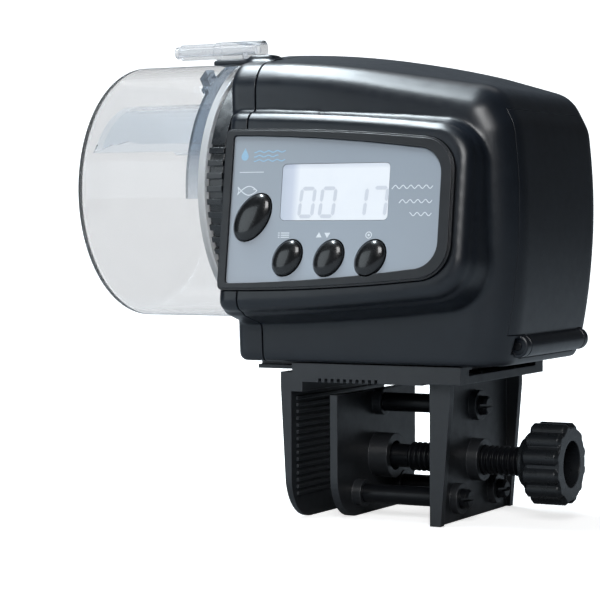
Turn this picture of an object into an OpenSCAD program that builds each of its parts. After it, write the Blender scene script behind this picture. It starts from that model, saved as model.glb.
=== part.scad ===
// Clip-on automatic feeder: a turning food drum, a battery-driven housing and a rim clamp.
// Frame: origin on the underside of the clamp channel, where it rests on a tank's rim.
// +X runs from the drum to the clamp knob, +Y to the back, +Z up. Millimetres.

/* [Drum] */
// Outside radius of the clear food drum
drum_r = 35; // [35:0.5:35.5]
// Length of the drum from its closed end to its flange face
drum_len = 42.2; // [36:0.2:43]
// Wall thickness of the drum
drum_wall = 1.5; // [1.2:0.1:1.8]
// Height of the drum axis above the rim
drum_z = 50.45; // [50.45:0.05:50.9]
// Number of rib positions round the drive hub
hub_ribs = 66; // [60:2:72]

/* [Housing] */
// Width of the housing from its left face to the bulge of its right face
body_w = 79.5; // [79:0.1:80]
// Half depth of the housing at shoulder height
body_half = 33.5; // [33.3:0.1:34]
// Half depth of the housing at its foot
foot_half = 30; // [29.8:0.1:30.4]
// Height of the housing's top edge above the rim, at the drum side
body_top = 86.9; // [86.6:0.1:87.2]
// Wall thickness of the housing
wall = 2; // [1.8:0.1:2.2]
// Backward lean of the control panel
panel_lean = 8; // [7:0.5:9]

/* [Panel] */
// Width of the display window
lcd_w = 30.3; // [28:0.1:31]
// Height of the display window
lcd_h = 14.4; // [12:0.1:15]
// Half length of the feed button's oval
feed_a = 6.7; // [6:0.1:6.9]
// Half length of a small button's oval
small_a = 4.9; // [4.4:0.1:5.1]
// Height of a button's dome above the label
button_h = 1.55; // [1.2:0.05:1.7]

/* [Clamp] */
// Length of the channel that carries the housing
channel_len = 48; // [46:0.5:49]
// Half width of the channel
channel_half = 27.9; // [27.5:0.1:28.5]
// Gap between the jaws
jaw_gap = 8.9; // [4:0.1:12]
// Depth of the jaws below the rim
jaw_drop = 36.5; // [34:0.5:38]
// Radius of the clamp screw
screw_r = 3.9; // [3.6:0.1:4]
// Thread pitch of the clamp screw
screw_pitch = 1.5; // [1.25:0.25:1.75]
// Radius of the clamp knob
knob_r = 10.85; // [10:0.05:11]
// Number of lobes on the knob
knob_lobes = 12; // [10:1:12]

/* [Gears] */
// Tooth thinning of the gears, in degrees at each flank
tooth_slack = 0.5; // [0.4:0.1:0.7]
// Face width of the output gear
gear_t = 4; // [3.6:0.1:4.1]

/* [Hidden] */
$fn = 64;
slit = 0.01;
hull_fn = 32;

// Housing stations along X
left_x = -19.5;
seam_x = -11.7;
right_x = left_x + body_w;
base_z = 5.2;

// Drum stations along X
flange_x = -25.3;
drum_end = flange_x - drum_len;
collar_x = -27.5;
band_x = -31.1;
hub_right = -20.3;
flange_r = drum_r + 1.5;
hub_r = drum_r + 1;
spigot_r = drum_r - drum_wall - 0.25;
shaft_r = 3;
slot_x = [-41, -31.6];
slot_a = [40, 68];

// Clamp stations
floor_t = 2.5;
channel_h = 4.9;
slot_half = 22.5;
lip_half = 20.6;
channel_x = -4.2;
grip_x = -4;
jaw_x = grip_x + jaw_gap;
seat_end = 33.2;
seat_groove = 1;
plate_top = 0.4;
plate_in = 33.5;
plate_out = 35.5;
screw_z = -21.3;
rod_r = 2.55;
pin_end = 39.8;
rod_at = [[0, screw_z + 14.4], [12.2, screw_z - 9], [-12.2, screw_z - 9]];

// Panel frame: origin on the label's face, 45 mm above the rim
panel_y = -41.38;
panel_z = 45;
lcd_at = [15.1, 4.3];
feed_at = [-8, -2.1];
small_at = [[2.8, -12.5], [14.6, -12.5], [26.2, -12.5]];
board_posts = [[-9, 11.5], [38, 8]];
oval_tilt = -35;
label_t = 0.4;
rim_h = 0.7;
pod_z = -0.7;
bow = 0.7;
bezel_back = -2.4;

// Gear train: module and tooth counts
gear_m = 0.8;
teeth_out = 50;
teeth_mid = 40;
teeth_pin = 12;
mid_at = [4, drum_z - sqrt(pow(gear_m * (teeth_out + teeth_pin) / 2, 2) - 16)];
motor_dy = -19;
motor_at = [mid_at[0] + motor_dy,
            mid_at[1] + sqrt(pow(gear_m * (teeth_mid + teeth_pin) / 2, 2) - motor_dy * motor_dy)];
gear_x = -9.2;
big_x = -4.6;
magnet_x = gear_x + gear_t - 1.3;
big_t = 3.4;
axle_r = 1.25;
post_at = [[-18, 67], [24, 44], [-16, 14]];

// Battery bay
cell_r = 7.25;
cell_len = 50.5;
cell_x = 45.2;
cell_zs = [28, 44.4];
cell_dir = [1, -1];
tray_half = 27.4;
tray_x = 35.5;
hinge_x = 56.5;
hinge_z = 10.2;
barrel_r = 2.9;
barrel_half = 18.5;
lug_mid = 20.1;
lug_t = 2.6;
door_half = 26;
door_z0 = 13.2;
door_z1 = 69.5;
door_x = 52.5;

// Screw bosses of the case, nozzle and foot screws
boss_at = [[-26, 10], [26, 10], [-27.4, 77.6], [27.4, 77.6]];
boss_r = 3.4;
nozzle_r = 2.4;
nozzle_z = 87.6;
foot_screw_xs = [4, 28];

// ---- shared shapes ----

// Turns children so that their Z runs along +X, starting at x
module along_x(x, y = 0, z = 0) { translate([x, y, z]) rotate([0, 90, 0]) children(); }

// A cylinder along X from x0 to x1
module rod_x(r, x0, x1, y = 0, z = 0) { along_x(x0, y, z) cylinder(r = r, h = x1 - x0); }

// A cylinder along Y from y0 to y1
module rod_y(r, y0, y1, x, z) { translate([x, y1, z]) rotate([90, 0, 0]) cylinder(r = r, h = y1 - y0); }

// A box from its low corner to its high corner
module span(a, b) { translate(a) cube(b - a); }

// Places children in the panel frame: local X across, local Y up the panel, local Z out of it
module in_panel(z = 0) {
    translate([0, panel_y, panel_z]) rotate([90 - panel_lean, 0, 0]) translate([0, 0, z]) children();
}

// Extrudes a Y-Z outline along X from x0 to x1
module prism_x(x0, x1) { translate([x0, 0, 0]) rotate([90, 0, 90]) linear_extrude(x1 - x0) children(); }

// Places a sector: an annulus about the drum axis, angles measured from +Y towards +Z
module arc_x(r0, r1, x0, x1, a0, a1) {
    along_x(x0, 0, drum_z) rotate(90)
        rotate_extrude(angle = a1 - a0, start = a0) translate([r0, 0]) square([r1 - r0, x1 - x0]);
}

// An oval outline
function oval(a, b, n = 40) = [for (i = [0:n - 1]) [b * cos(360 * i / n), a * sin(360 * i / n)]];

// Involute gear outline
function flank(r, rb) = let (t = sqrt(max(0, pow(r / rb, 2) - 1))) t * 180 / PI - atan(t);
function gear_outline(n, slack = tooth_slack) =
    let (rp = gear_m * n / 2, rb = rp * cos(20), ra = rp + 0.9 * gear_m, rr = rp - 1.2 * gear_m,
         half = 90 / n - slack + flank(rp, rb), r0 = max(rb, rr + 0.1),
         rs = [r0, (r0 + rp) / 2, rp, (rp + ra) / 2, ra])
    [for (i = [0:n - 1]) let (c = 360 * i / n) each concat(
        [rr * [cos(c - half - 0.4), sin(c - half - 0.4)]],
        [for (r = rs) r * [cos(c - half + flank(r, rb)), sin(c - half + flank(r, rb))]],
        [for (k = [4:-1:0]) rs[k] * [cos(c + half - flank(rs[k], rb)), sin(c + half - flank(rs[k], rb))]],
        [rr * [cos(c + half + 0.4), sin(c + half + 0.4)]])];

// A gear along X; turn is the angle of one tooth's middle, from +Y towards +Z
module gear(n, x, t, at, turn) {
    prism_x(x, x + t) translate(at) rotate(turn) polygon(gear_outline(n));
}

// Bearing of b seen from a, from +Y towards +Z
function bearing(a, b) = atan2(b[1] - a[1], b[0] - a[0]);

// A pan head screw along +X, its head's outer face at x
module pan_screw(x, y, z, len, r = 1.4) {
    difference() {
        union() {
            rod_x(r * 1.9, x, x + r, y, z);
            rod_x(r, x + r - slit, x + len, y, z);
        }
        for (a = [0, 90]) translate([x - slit, y, z]) rotate([a, 0, 0])
            translate([0, -r * 1.3, -0.3]) cube([r * 0.6, r * 2.6, 0.6]);
    }
}

// ---- clamp ----

module jaw_outline(half, top, drop, round_r) {
    hull() {
        translate([-half, top - 2]) square([2 * half, 2]);
        for (s = [-1, 1]) translate([s * (half - round_r), round_r - drop]) circle(r = round_r, $fn = 48);
    }
}

module clamp_frame() {
    rib_n = 15;
    rib_p = 1.8;
    color([0.09, 0.095, 0.11]) difference() {
        union() {
            span([channel_x, -channel_half, 0], [channel_x + channel_len, channel_half, channel_h]);
            prism_x(-7.6, grip_x - 0.5) jaw_outline(channel_half, floor_t, jaw_drop, 11);
            span([-7, -channel_half, -2.6], [-1.2, channel_half, floor_t]);
            for (i = [0:rib_n - 1])
                span([grip_x - 0.8, -channel_half + 3, -5 - i * rib_p], [grip_x, channel_half - 3, -4.1 - i * rib_p]);
        }
        // grip grooves in the seat, open at the channel's edges
        for (i = [0:9]) let (x = 3.5 + i * rib_p) {
            span([x, 8, -1], [x + 0.9, channel_half + 1, seat_groove]);
            span([x, -channel_half - 1, -1], [x + 0.9, -8, seat_groove]);
        }
        // the seat ends short of the end plate
        span([seat_end, -channel_half - 1, -1], [channel_x + channel_len + 1, channel_half + 1, plate_top]);
        // slot for the housing's foot, with lips along both edges
        span([channel_x - 5, -slot_half, floor_t], [channel_x + channel_len + 1, slot_half, 4.1]);
        span([channel_x - 5, -lip_half, 4.1 - slit], [channel_x + channel_len + 1, lip_half, channel_h + 1]);
        // outer face leans in towards its foot
        translate([-7.6, -40, floor_t - 4]) rotate([0, -3, 0]) translate([-6, 0, -60]) cube([6, 80, 60]);
    }
    color([0.09, 0.095, 0.11]) for (s = [-1, 1])
        span([36, s * 11 - 0.6, floor_t - slit], [42.5, s * 11 + 0.6, floor_t + 0.25]);
}

module clamp_end_plate() {
    color([0.08, 0.085, 0.1]) difference() {
        union() {
            span([plate_in, -24, -36.3], [plate_out, 24, plate_top]);
            for (s = [-1, 1]) translate([0, s * 22.9 - 1.1, 0]) rotate([90, 0, 0]) mirror([0, 0, 1])
                linear_extrude(2.2) polygon([[plate_out - slit, plate_top], [plate_out + 3.8, plate_top],
                    [plate_out + 3.8, -3], [plate_out + 1, -36.3], [plate_out - slit, -36.3]]);
            rod_x(5.6, plate_in - 2, plate_out + 3, 0, screw_z);
            for (p = rod_at) rod_x(4, plate_out - slit, plate_out + 2, p[0], p[1]);
        }
        rod_x(screw_r + 0.06, plate_in - 3, plate_out + 4, 0, screw_z);
        for (p = rod_at) rod_x(rod_r + 0.08, plate_in - 1, plate_out + 4, p[0], p[1]);
    }
}

module moving_jaw_plate() {
    color([0.08, 0.085, 0.1]) difference() {
        union() {
            prism_x(jaw_x, jaw_x + 2.1) jaw_outline(24, -3.6, jaw_drop - 0.1, 11);
            for (i = [0:13]) span([jaw_x - 0.6, -20, -6 - i * 1.8], [jaw_x + slit, 20, -5.1 - i * 1.8]);
            rod_x(6, jaw_x + 2, jaw_x + 7.6, 0, screw_z);
            for (p = rod_at) rod_x(3.6, jaw_x + 2, jaw_x + 4.6, p[0], p[1]);
        }
        // pocket that holds the screw's ball end
        rod_x(screw_r + 0.06, jaw_x + 2.3, jaw_x + 9, 0, screw_z);
        for (p = rod_at) rod_x(rod_r, jaw_x + 2.1, jaw_x + 6, p[0], p[1]);
    }
}

module guide_pins() {
    color([0.07, 0.075, 0.09]) for (p = rod_at) difference() {
        union() {
            rod_x(rod_r, jaw_x + 2.1, pin_end - 0.6, p[0], p[1]);
            along_x(pin_end - 0.6 - slit, p[0], p[1]) cylinder(r1 = rod_r, r2 = rod_r - 0.6, h = 0.6);
        }
        span([pin_end - 1.6, p[0] - 3, p[1] - 0.45], [pin_end + 1, p[0] + 3, p[1] + 0.45]);
    }
}

module clamp_screw() {
    x0 = jaw_x + 2.4;
    x1 = 53.6;
    neck = 10;
    turns = floor((x1 - x0 - neck - 3) / screw_pitch);
    root_r = screw_r - 0.75;
    color([0.07, 0.075, 0.09]) along_x(x0, 0, screw_z) rotate_extrude() polygon(concat(
        [[0, 0], [screw_r - 0.5, 0], [screw_r, 0.5], [screw_r, 3.2], [root_r, 3.8], [root_r, neck]],
        [for (i = [0:turns - 1]) each [[root_r, neck + i * screw_pitch],
            [screw_r, neck + (i + 0.4) * screw_pitch], [screw_r, neck + (i + 0.6) * screw_pitch]]],
        [[root_r, neck + turns * screw_pitch], [root_r, x1 - x0], [0, x1 - x0]]));
}

module clamp_knob() {
    x0 = 51.8;
    x1 = 63.4;
    lobe_r = 2.1;
    color([0.05, 0.055, 0.065]) difference() {
        union() {
            along_x(x0, 0, screw_z) cylinder(r1 = knob_r - 2.8, r2 = knob_r - 1.6, h = 2.2);
            rod_x(knob_r - 1.4, x0 + 2.2, x1 - 0.5, 0, screw_z);
            for (i = [0:knob_lobes - 1]) let (a = 360 * i / knob_lobes + 15)
                along_x(x0 + 1, (knob_r - lobe_r) * cos(a), screw_z + (knob_r - lobe_r) * sin(a))
                    rotate_extrude() polygon([[0, 0], [lobe_r - 0.8, 0], [lobe_r, 0.8],
                        [lobe_r, x1 - x0 - 2.4], [lobe_r - 0.8, x1 - x0 - 1.5], [0, x1 - x0 - 1.5]]);
            rod_x(6.4, x0 - 1.6, x0 + 0.5, 0, screw_z);
        }
        rod_x(screw_r + 2.2, x0 + 4.4, x1 + 1, 0, screw_z);
        rod_x(screw_r - 0.75, x0 - 2, x0 + 1.8, 0, screw_z);
    }
}

// ---- housing ----

// Height of the housing's top edge at x
function crown_z(x) = body_top - 0.00203 * pow(x - left_x, 2);

// How far the door side lies in from its widest point at height z
function side_in(z) = pow((z - 43) / 9.6, 2) / 3.6;

// Half depth of the housing's door side at height z
function side_half(z) = foot_half + 1.9 * sin(min(90, (z - base_z) * 1.7));

// Convex outer form of the housing, shrunk by t
module body_form(t = 0, fn = hull_fn, step = 8) {
    top_r = 8 - t;
    side_r = 9.5 - t;
    edge = 2;
    hull() for (s = [-1, 1]) {
        // foot: a square corner at the drum side and a round one at the door side
        translate([left_x + t + edge, s * (foot_half - t - edge), base_z + t])
            cylinder(r1 = edge - 0.8, r2 = edge, h = 1.2, $fn = 16);
        translate([right_x - side_in(base_z) - 9.5, s * (foot_half - 9.5), base_z + t])
            cylinder(r1 = side_r - 1.2, r2 = side_r, h = 1.4, $fn = fn);
        // bulging door side
        for (z = [15:step:63])
            translate([right_x - side_in(z) - 9.5, s * (side_half(z) - 9.5), z]) sphere(r = side_r, $fn = fn);
        // shoulder, falling towards the door side
        along_x(left_x + t, s * (body_half - 8), crown_z(left_x) - 11)
            cylinder(r1 = top_r - 1.6, r2 = top_r, h = 1.6, $fn = fn);
        for (x = [-6:step:42])
            translate([x, s * (body_half - 8 - 0.0007 * pow(x - left_x, 2)), crown_z(x) - 11])
                sphere(r = top_r, $fn = fn);
        translate([right_x - 12.8, s * (body_half - 11), 66.9]) sphere(r = side_r, $fn = fn);
        // crown along the middle
        for (x = [left_x + 1 + t, -6, 8, 22, 34, 43])
            translate([x, s * 4, crown_z(x) - t - 1]) cube([1.2, 2, 2], center = true);
    }
}

// Points of an arc
function arc_pts(c, r, a0, a1, step = 10) = [for (a = [a0:step:a1]) c + r * [cos(a), sin(a)]];

// A panel outline: half heights h0 at the drum side and h1 at the door side, corner radii r0 and r1,
// long edges bowed out a little, everything grown by g
function panel_pts(x0, x1, h0, h1, r0, r1, g = 0) =
    let (xa = x0 + r0, xb = x1 - r1, ra = max(r0 + g, 0.3), rb = r1 + g, us = [for (i = [1:6]) i / 7],
         edge = [for (u = us) [xa + u * (xb - xa), h0 + g + (h1 - h0) * u + 4 * bow * u * (1 - u)]])
    concat(arc_pts([xa, r0 - h0], ra, 180, 270), [for (p = edge) [p[0], -p[1]]],
           arc_pts([xb, r1 - h1], rb, 270, 360), arc_pts([xb, h1 - r1], rb, 0, 90),
           [for (i = [5:-1:0]) edge[i]], arc_pts([xa, h0 - r0], ra, 90, 180));

module pod_outline(g = 0) { polygon(panel_pts(left_x + 0.6, 52.6, 27, 23, 3.5, 11, g)); }
module bezel_outline(g = 0) { polygon(panel_pts(-17.2, 47.8, 20.9, 18, 1.5, 9, g)); }
module label_outline(g = 0) { polygon(panel_pts(-14.7, 44.4, 19.1, 15.1, 0.8, 6.6, g)); }

// A slab in the panel frame from local z0 to z1
module pod_slab(z0, z1, g) { in_panel(z0) linear_extrude(z1 - z0) pod_outline(g); }

// The raised panel housing: a flared base, a step, then a field with a soft edge
module pod_form(t = 0) {
    hull() {
        pod_slab(-22, -21, 2.2 - t);
        pod_slab(-10, -9, 0.6 - t);
        pod_slab(-6, -4.6 - t, -t);
    }
    hull() {
        pod_slab(-7, -4, -0.9 - t);
        pod_slab(-2.6 - t, -2.2 - t, -1.5 - t);
        pod_slab(-1.2 - t, pod_z - t, -3.4 - t);
    }
}

// Outer limit of the housing with its panel housing, clipped to the drum side face
module case_form() {
    body_form();
    intersection() {
        pod_form();
        span([left_x, -60, base_z], [right_x, 0, body_top]);
    }
}

module lcd_outline(g = 0) {
    x = lcd_w / 2;
    v = lcd_h / 2;
    translate(lcd_at) polygon(concat(arc_pts([1.2 - x, 1.2 - v], 1.2 + g, 180, 270, 15),
        arc_pts([x - 1.2, 1.2 - v], 1.2 + g, 270, 360, 15), arc_pts([x - 1.2, v - 1.2], 1.2 + g, 0, 90, 15),
        arc_pts([1.2 - x, v - 1.2], 1.2 + g, 90, 180, 15)));
}

module button_holes(grow) {
    translate(feed_at) rotate(oval_tilt) polygon(oval(feed_a + grow, feed_a * 0.64 + grow));
    for (p = small_at) translate(p) rotate(oval_tilt) polygon(oval(small_a + grow, small_a * 0.74 + grow));
}

// Removes the inside of the housing, the panel pocket and the panel window
module case_hollow() {
    body_form(wall, 16, 16);
    intersection() {
        pod_form(wall);
        span([left_x + wall, -60, base_z + 8], [right_x - wall, 0, 80]);
    }
    in_panel(bezel_back - 0.1) linear_extrude(6) bezel_outline(0.15);
    in_panel(-12) linear_extrude(14) bezel_outline(-1);
}

module left_shell() {
    color([0.10, 0.105, 0.125]) difference() {
        union() {
            intersection() {
                difference() {
                    case_form();
                    case_hollow();
                }
                span([left_x - 1, -60, 0], [seam_x, 60, 95]);
            }
            // screw bosses
            for (p = boss_at) rod_x(boss_r, left_x + 1, seam_x, p[0], p[1]);
            rod_x(7.4, left_x + 1, left_x + 5, 0, drum_z);
            // shelf and cradle for the air nozzle
            span([-30.3, -23.4, 83.6], [left_x + 1, -16.7, 85.2]);
            hull() {
                span([left_x + 0.5, -23.2, 82.6], [left_x + 1.5, -16.9, 86]);
                span([seam_x - 1.5, -22.2, 82.6], [seam_x - 0.6, -17.9, 85.2]);
            }
        }
        rod_x(nozzle_r + 0.02, -31, -16.2, -20, nozzle_z);
        rod_x(5.2, left_x - 1, left_x + 6, 0, drum_z);
        for (p = boss_at) {
            rod_x(1.5, left_x - 1, seam_x + 1, p[0], p[1]);
            rod_x(2.9, left_x - 1, left_x + 1.6, p[0], p[1]);
        }
    }
}

module main_shell() {
    color([0.10, 0.105, 0.125]) difference() {
        union() {
            intersection() {
                difference() {
                    case_form();
                    case_hollow();
                }
                span([seam_x, -60, 0], [right_x + 1, 60, 95]);
            }
            for (p = boss_at) rod_x(boss_r, seam_x, 2, p[0], p[1]);
            // end lugs of the door hinge
            for (s = [-1, 1]) rod_y(barrel_r, s * lug_mid - lug_t / 2, s * lug_mid + lug_t / 2, hinge_x, hinge_z);
        }
        for (p = boss_at) rod_x(1.1, seam_x - 1, 1, p[0], p[1]);
        // opening for the battery door, and room for its barrel to turn
        span([door_x, -door_half - 0.3, door_z0 - 0.3], [right_x + 2, door_half + 0.3, door_z1 + 0.3]);
        rod_y(barrel_r + 0.4, -barrel_half - 0.3, barrel_half + 0.3, hinge_x, hinge_z);
        span([hinge_x - 3.3, -barrel_half - 0.3, hinge_z], [right_x + 2, barrel_half + 0.3, door_z0 + 1]);
        rod_y(1.05, -lug_mid - lug_t / 2 - 0.1, lug_mid + lug_t / 2 + 0.1, hinge_x, hinge_z);
        // screw holes for the slide foot
        for (x = foot_screw_xs) translate([x, 0, base_z - 1]) cylinder(r = 1.5, h = 5);
    }
}

module slide_foot() {
    color([0.085, 0.09, 0.105]) difference() {
        union() {
            span([-17.4, -slot_half + 0.3, floor_t + 0.35], [38, slot_half - 0.3, 3.9]);
            span([-17.4, -lip_half + 0.3, 3.9 - slit], [38, lip_half - 0.3, base_z]);
        }
        for (x = foot_screw_xs) translate([x, 0, floor_t]) {
            cylinder(r = 1.5, h = 5);
            cylinder(r = 2.9, h = 1.9);
        }
    }
}

module foot_screws() {
    color([0.6, 0.6, 0.62]) for (x = foot_screw_xs)
        translate([x, 0, floor_t + 0.4]) rotate([0, -90, 0]) pan_screw(0, 0, 0, 8.5, 1.45);
}

module case_screws() {
    color([0.55, 0.56, 0.58]) for (p = boss_at) pan_screw(left_x + 0.2, p[0], p[1], 13, 1.1);
}

// ---- front panel ----

module display_bezel() {
    color([0.07, 0.075, 0.085]) difference() {
        union() {
            in_panel(bezel_back) linear_extrude(rim_h - bezel_back - 0.5) bezel_outline();
            in_panel(rim_h - 0.5 - slit) linear_extrude(0.5) bezel_outline(-0.5);
            in_panel(-5.6) for (p = board_posts) translate(p) cylinder(r = 2.4, h = 3.3);
        }
        in_panel(-label_t) linear_extrude(3) label_outline(0.12);
        in_panel(-6) for (p = board_posts) translate(p) cylinder(r = 1.25, h = 3.6);
        in_panel(-5) linear_extrude(6) button_holes(0.25);
        in_panel(-5) linear_extrude(6) lcd_outline(0.1);
    }
}

module control_label() {
    color([0.53, 0.58, 0.65]) in_panel(-label_t) linear_extrude(label_t) difference() {
        label_outline();
        button_holes(0.35);
        lcd_outline(0.1);
    }
}

module lcd_lens() { color([0.92, 0.95, 0.96]) in_panel(-1.2) linear_extrude(1.15) lcd_outline(); }

module lcd_module() {
    color([0.75, 0.8, 0.78]) in_panel(-5.4) translate([lcd_at[0], lcd_at[1], 1.3])
        cube([lcd_w + 3, lcd_h + 3, 2.6], center = true);
}

module button_pad() {
    color([0.75, 0.75, 0.72]) in_panel(-5.6) {
        linear_extrude(0.6) difference() {
            label_outline(-4);
            translate(lcd_at) square([lcd_w + 4, lcd_h + 4], center = true);
            for (p = board_posts) translate(p) circle(r = 2.8);
        }
        for (p = concat([feed_at], small_at)) translate([p[0], p[1], 0.6 - slit]) cylinder(r1 = 2.6, r2 = 1.8, h = 0.5);
    }
}

module circuit_board() {
    color([0.1, 0.35, 0.2]) in_panel(-7.2) linear_extrude(1.6) difference() {
        label_outline(-3);
        for (p = board_posts) translate(p) circle(r = 1.3);
    }
}

module board_screws() {
    color([0.7, 0.7, 0.72]) in_panel(-7.2) for (p = board_posts) translate([p[0], p[1], 0]) {
        translate([0, 0, -1.2]) cylinder(r = 2.2, h = 1.2);
        translate([0, 0, -1.2]) cylinder(r = 1.25, h = 5.9);
    }
}

module reed_switch() {
    color([0.2, 0.5, 0.3]) in_panel(-9.4) translate([-6, 0, 0]) linear_extrude(2.2) square([2.4, 9], center = true);
}

module push_button(at, a, ratio) {
    in_panel() translate([at[0], at[1], 0]) rotate(oval_tilt) {
        hull() {
            translate([0, 0, -2.7]) linear_extrude(3.1) polygon(oval(a, a * ratio));
            translate([0, 0, button_h - 0.55]) linear_extrude(0.1) polygon(oval(a * 0.86, a * ratio * 0.82));
            translate([0, 0, button_h - 0.1]) linear_extrude(0.1) polygon(oval(a * 0.6, a * ratio * 0.52));
        }
        translate([0, 0, -3.4]) linear_extrude(0.75) polygon(oval(a + 0.5, a * ratio + 0.5));
    }
}

module feed_button() { color([0.03, 0.03, 0.035]) push_button(feed_at, feed_a, 0.64); }
module mode_button() { color([0.03, 0.03, 0.035]) push_button(small_at[0], small_a, 0.74); }
module adjust_button() { color([0.03, 0.03, 0.035]) push_button(small_at[1], small_a, 0.74); }
module set_button() { color([0.03, 0.03, 0.035]) push_button(small_at[2], small_a, 0.74); }

// ---- drive ----

module gearbox_plate(x, t) {
    prism_x(x, x + t) hull() {
        translate([0, drum_z]) circle(r = 9);
        translate(mid_at) circle(r = 8);
        translate(motor_at) circle(r = 11);
        for (p = post_at) translate(p) circle(r = 3);
    }
}

module gearbox_base() {
    color([0.75, 0.76, 0.74]) difference() {
        union() {
            gearbox_plate(-11.6, 1.6);
            for (p = post_at) rod_x(2.4, -10.1, 0.3, p[0], p[1]);
        }
        rod_x(shaft_r + 0.06, -13, 0, 0, drum_z);
        rod_x(axle_r, -13, 0, mid_at[0], mid_at[1]);
    }
}

module gearbox_cover() {
    color([0.75, 0.76, 0.74]) difference() {
        gearbox_plate(0.3, 1.5);
        rod_x(shaft_r + 0.06, -1, 4, 0, drum_z);
        rod_x(axle_r, -1, 4, mid_at[0], mid_at[1]);
        rod_x(3.2, -1, 4, motor_at[0], motor_at[1]);
    }
}

module gear_axle() { color([0.8, 0.8, 0.82]) rod_x(axle_r, -11.6, 1.8, mid_at[0], mid_at[1]); }

module motor() {
    color([0.7, 0.71, 0.73]) {
        difference() {
            union() {
                rod_x(9, 1.8, 24, motor_at[0], motor_at[1]);
                rod_x(5, 24 - slit, 25.6, motor_at[0], motor_at[1]);
                rod_x(3.1, 0.6, 2, motor_at[0], motor_at[1]);
            }
            rod_x(1.06, 0, 8, motor_at[0], motor_at[1]);
        }
        for (s = [-1, 1]) span([25.5 - slit, motor_at[0] + s * 3 - 1, motor_at[1] - 0.25],
                               [28, motor_at[0] + s * 3 + 1, motor_at[1] + 0.25]);
    }
}

module motor_pinion() {
    turn = bearing(mid_at, motor_at) + 180 + 180 / teeth_pin;
    color([0.85, 0.84, 0.78]) gear(teeth_pin, big_x, big_t, motor_at, turn);
    color([0.8, 0.8, 0.82]) rod_x(1, big_x + big_t - slit, 7.5, motor_at[0], motor_at[1]);
}

module compound_gear() {
    color([0.88, 0.87, 0.82]) difference() {
        union() {
            gear(teeth_mid, big_x, big_t, mid_at, bearing(mid_at, motor_at));
            gear(teeth_pin, gear_x - 0.2, big_x - gear_x + 0.2 + slit, mid_at,
                 bearing([0, drum_z], mid_at) + 180 + 180 / teeth_pin);
        }
        rod_x(axle_r + 0.06, -12, 2, mid_at[0], mid_at[1]);
    }
}

module output_gear() {
    color([0.88, 0.87, 0.82]) difference() {
        union() {
            gear(teeth_out, gear_x, gear_t - 0.1, [0, drum_z], bearing([0, drum_z], mid_at));
            rod_x(6, gear_x, -0.4, 0, drum_z);
        }
        rod_x(shaft_r, -12, 2, 0, drum_z);
        rod_x(1.62, magnet_x, gear_x + gear_t, -17, drum_z + 4);
    }
}

module hub_bushing() {
    color([0.72, 0.6, 0.35]) difference() {
        union() {
            rod_x(5.2, left_x, -12.2, 0, drum_z);
            rod_x(7, left_x + 5, left_x + 6.2, 0, drum_z);
        }
        rod_x(shaft_r + 0.05, left_x - 1, -10, 0, drum_z);
    }
}

module hub_shaft() { color([0.75, 0.75, 0.78]) difference() {
        rod_x(shaft_r, -24.4, 4.4, 0, drum_z);
        along_x(2.4, 0, drum_z) difference() {
            cylinder(r = 4, h = 0.8);
            translate([0, 0, -1]) cylinder(r = 2.3, h = 3);
        }
    }
}

module retaining_clip() {
    color([0.6, 0.6, 0.62]) difference() {
        rod_x(5, 2.45, 3.1, 0, drum_z);
        rod_x(2.3, 2, 4, 0, drum_z);
        span([2, -1.8, drum_z - 8], [4, 1.8, drum_z]);
    }
}

// it sits flush in the gear's face, where the reed switch senses it go by
module index_magnet() { color([0.5, 0.5, 0.52]) rod_x(1.6, magnet_x, gear_x + gear_t - 0.1, -17, drum_z + 4); }

module drive_hub() {
    rib_step = 360 / hub_ribs;
    color([0.07, 0.07, 0.08]) difference() {
        union() {
            along_x(flange_x + 0.1, 0, drum_z) rotate_extrude() polygon([[0, 0], [hub_r - 1.4, 0],
                [hub_r - 0.9, 0.5], [hub_r - 0.9, 4.4], [hub_r - 1.4, 4.9], [0, 4.9]]);
            // grip ribs leave the upper front of the rim plain
            for (i = [0:hub_ribs - 1]) if (i * rib_step < 85 || i * rib_step > 162)
                translate([0, 0, drum_z]) rotate([i * rib_step, 0, 0])
                    span([flange_x + 0.3, hub_r - 1.6, -0.75], [hub_right - 0.2, hub_r, 0.75]);
            arc_x(hub_r - 2.3, hub_r - 0.35, flange_x + 0.4, hub_right - 0.35, 84.5, 160.5);
            // spigot that the drum pushes onto
            along_x(collar_x - 1.4, 0, drum_z) difference() {
                cylinder(r = spigot_r, h = 3.7);
                translate([0, 0, -1]) cylinder(r = spigot_r - 2, h = 5.2);
            }
            rod_x(7.3, -24.5, -20.15, 0, drum_z);
        }
        rod_x(shaft_r, -24.4, -10, 0, drum_z);
        // the hub is dished behind its rim
        along_x(-21.8, 0, drum_z) difference() {
            cylinder(r = 31, h = 4);
            translate([0, 0, -1]) cylinder(r = 7, h = 6);
        }
    }
}

// ---- drum ----

module drum_shell() {
    len = flange_x - drum_end;
    fillet = 3.2;
    ri = drum_r - drum_wall;
    color([0.85, 0.9, 0.95, 0.35]) difference() {
        along_x(drum_end, 0, drum_z) rotate_extrude($fn = 96) polygon(concat(
            [[0, 0]],
            [for (a = [-90:10:0]) [drum_r - fillet + fillet * cos(a), fillet + fillet * sin(a)]],
            [[drum_r, len - 2.2], [flange_r, len - 2.2], [flange_r, len], [ri, len]],
            [for (a = [0:-15:-90]) [ri - 2 + 2 * cos(a), drum_wall + 2 + 2 * sin(a)]],
            [[0, drum_wall]]));
        // feed slot
        arc_x(ri - 1, drum_r + 1, slot_x[0], slot_x[1], slot_a[0], slot_a[1]);
    }
}

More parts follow.
